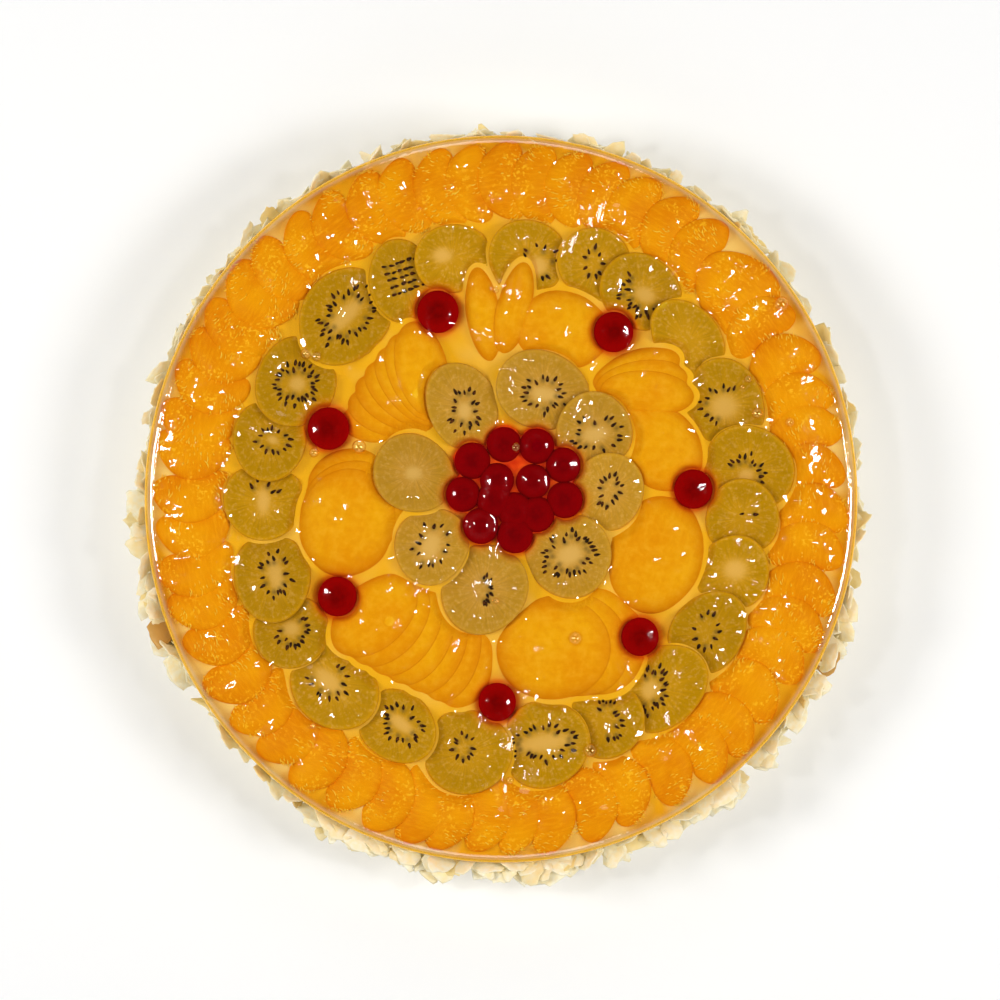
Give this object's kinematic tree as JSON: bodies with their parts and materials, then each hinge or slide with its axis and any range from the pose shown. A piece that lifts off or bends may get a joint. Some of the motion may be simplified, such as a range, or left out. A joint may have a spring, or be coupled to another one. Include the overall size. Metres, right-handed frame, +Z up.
{
  "type": "fruit tart",
  "caption": "Round fruit torte with glazed mandarin, kiwi, peach and cherry rings under clear jelly, and flaked almonds on its cream side.",
  "frame": {"origin": "middle of the flat underside, on the surface that the tart stands on", "axes": "+Z up through the middle, +X and +Y across the round top, with +Y towards the top of the fruit pattern"},
  "size_m": [0.2846, 0.2888, 0.0497],
  "materials": {
    "cream": "whipped cream coat with pale flaked almonds pressed on",
    "jelly": "clear amber glaze jelly, wet and glossy",
    "mandarin": "tinned mandarin segments, fine pulp threads under a thin skin",
    "kiwi": "olive kiwi flesh with a pale core and dark seeds",
    "peach": "smooth tinned peach with fine fibres",
    "cherry": "dark red cocktail cherry, wet"
  },
  "bodies": {
    "root": {"cream_and_almonds": "cream", "jelly_rim": "jelly", "cherry_cluster": "cherry", "cherry_1": "cherry", "cherry_2": "cherry", "cherry_3": "cherry", "cherry_4": "cherry", "cherry_5": "cherry", "cherry_6": "cherry", "cherry_7": "cherry", "kiwi_inner_1": "kiwi", "kiwi_inner_2": "kiwi", "kiwi_inner_3": "kiwi", "kiwi_inner_4": "kiwi", "kiwi_inner_5": "kiwi", "kiwi_inner_6": "kiwi", "kiwi_inner_7": "kiwi", "kiwi_inner_8": "kiwi", "kiwi_outer_01": "kiwi", "kiwi_outer_02": "kiwi", "kiwi_outer_03": "kiwi", "kiwi_outer_04": "kiwi", "kiwi_outer_05": "kiwi", "kiwi_outer_06": "kiwi", "kiwi_outer_07": "kiwi", "kiwi_outer_08": "kiwi", "kiwi_outer_09": "kiwi", "kiwi_outer_10": "kiwi", "kiwi_outer_11": "kiwi", "kiwi_outer_12": "kiwi", "kiwi_outer_13": "kiwi", "kiwi_outer_14": "kiwi", "kiwi_outer_15": "kiwi", "kiwi_outer_16": "kiwi", "kiwi_outer_17": "kiwi", "kiwi_outer_18": "kiwi", "kiwi_outer_19": "kiwi", "kiwi_outer_20": "kiwi", "kiwi_outer_21": "kiwi", "kiwi_outer_22": "kiwi", "kiwi_outer_23": "kiwi", "peach_1": "peach", "peach_2": "peach", "peach_3": "peach", "peach_4": "peach", "peach_5": "peach", "peach_6": "peach", "peach_7": "peach", "peach_8": "peach", "peach_9": "peach", "mandarins_01": "mandarin", "mandarins_02": "mandarin", "mandarins_03": "mandarin", "mandarins_04": "mandarin", "mandarins_05": "mandarin", "mandarins_06": "mandarin", "mandarins_07": "mandarin", "mandarins_08": "mandarin", "mandarins_09": "mandarin", "mandarins_10": "mandarin"}
  },
  "joints": []
}
